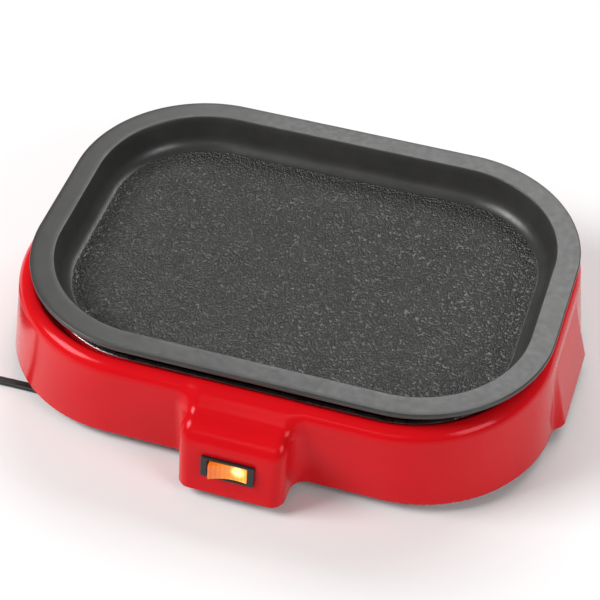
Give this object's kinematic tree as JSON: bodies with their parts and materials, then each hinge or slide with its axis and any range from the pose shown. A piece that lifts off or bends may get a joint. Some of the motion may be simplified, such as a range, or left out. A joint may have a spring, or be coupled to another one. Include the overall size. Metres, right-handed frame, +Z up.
{
  "type": "countertop griddle",
  "caption": "Low rounded electric countertop griddle: lift-off deep plate over a heater loop in a red moulded housing, lit rocker switch in a box on the front, flat lead.",
  "frame": {"origin": "middle of the footprint, on the surface the feet stand on", "axes": "+X along the long side, to the right seen from the switch side; +Y to the back; +Z up"},
  "size_m": [0.44, 0.2619, 0.072],
  "materials": {
    "red_shell": "gloss",
    "black_plastic": "matte",
    "pan_black": "satin",
    "nonstick": "satin",
    "heater_steel": "satin",
    "bright_steel": "satin",
    "ceramic": "matte",
    "phenolic": "matte",
    "brass_parts": "satin",
    "rubber_parts": "matte",
    "switch_black": "gloss",
    "insulation": "matte",
    "lamp_glass": "gloss",
    "rocker_amber": "gloss",
    "cord_black": "satin",
    "tie_black": "matte"
  },
  "bodies": {
    "base": {"upper_housing": "red_shell", "base_cover": "black_plastic", "heat_shield": "pan_black", "heating_element": "heater_steel", "heater_terminals": "bright_steel", "heater_bushes": "ceramic", "heater_brackets": "bright_steel", "plate_supports": "bright_steel", "thermostat_body": "phenolic", "thermostat_cap": "bright_steel", "thermostat_bracket": "bright_steel", "thermostat_terminals": "brass_parts", "wire_grommet": "rubber_parts", "thermal_fuse": "brass_parts", "fuse_clip": "bright_steel", "switch_housing": "switch_black", "switch_terminals": "brass_parts", "wire_spades": "insulation", "switch_lamp": "lamp_glass", "cord_bushing": "cord_black", "power_cord": "cord_black", "cord_tail": "cord_black", "cord_coil": "cord_black", "cord_tie": "tie_black", "plug_body": "cord_black", "plug_blades": "brass_parts", "cord_clamp": "black_plastic", "clamp_screws": "bright_steel", "wire_line": "insulation", "wire_load": "insulation", "wire_thermostat": "insulation", "wire_neutral": "insulation", "wire_lamp": "insulation", "wire_fuse_in": "insulation", "wire_fuse_out": "insulation", "neutral_splice": "insulation", "rubber_feet": "rubber_parts", "housing_screws": "bright_steel", "shield_screws": "bright_steel"},
    "plate": {"grill_plate": "nonstick"},
    "rocker": {"switch_rocker": "rocker_amber", "switch_plunger": "insulation", "switch_spring": "bright_steel"},
    "lever": {"switch_contact_lever": "brass_parts"}
  },
  "joints": [
    {"name": "plate_lift", "type": "slide", "parent": "base", "child": "plate", "axis": [0, 0, 1], "range_m": [0, 0.06]},
    {"name": "rocker_tilt", "type": "hinge", "parent": "base", "child": "rocker", "pos_m": [0.0011, -0.12529, 0.02717], "axis": [0, -0.1296, -0.9916], "range_deg": [0, 20]},
    {"name": "contact_tilt", "type": "hinge", "parent": "base", "child": "lever", "pos_m": [0.0011, -0.11666, 0.02604], "axis": [0, -0.1296, -0.9916], "range_deg": [-14, 0]}
  ],
  "couplings": [
    {"joint": "contact_tilt", "follows": "rocker_tilt", "ratio": -0.7}
  ]
}
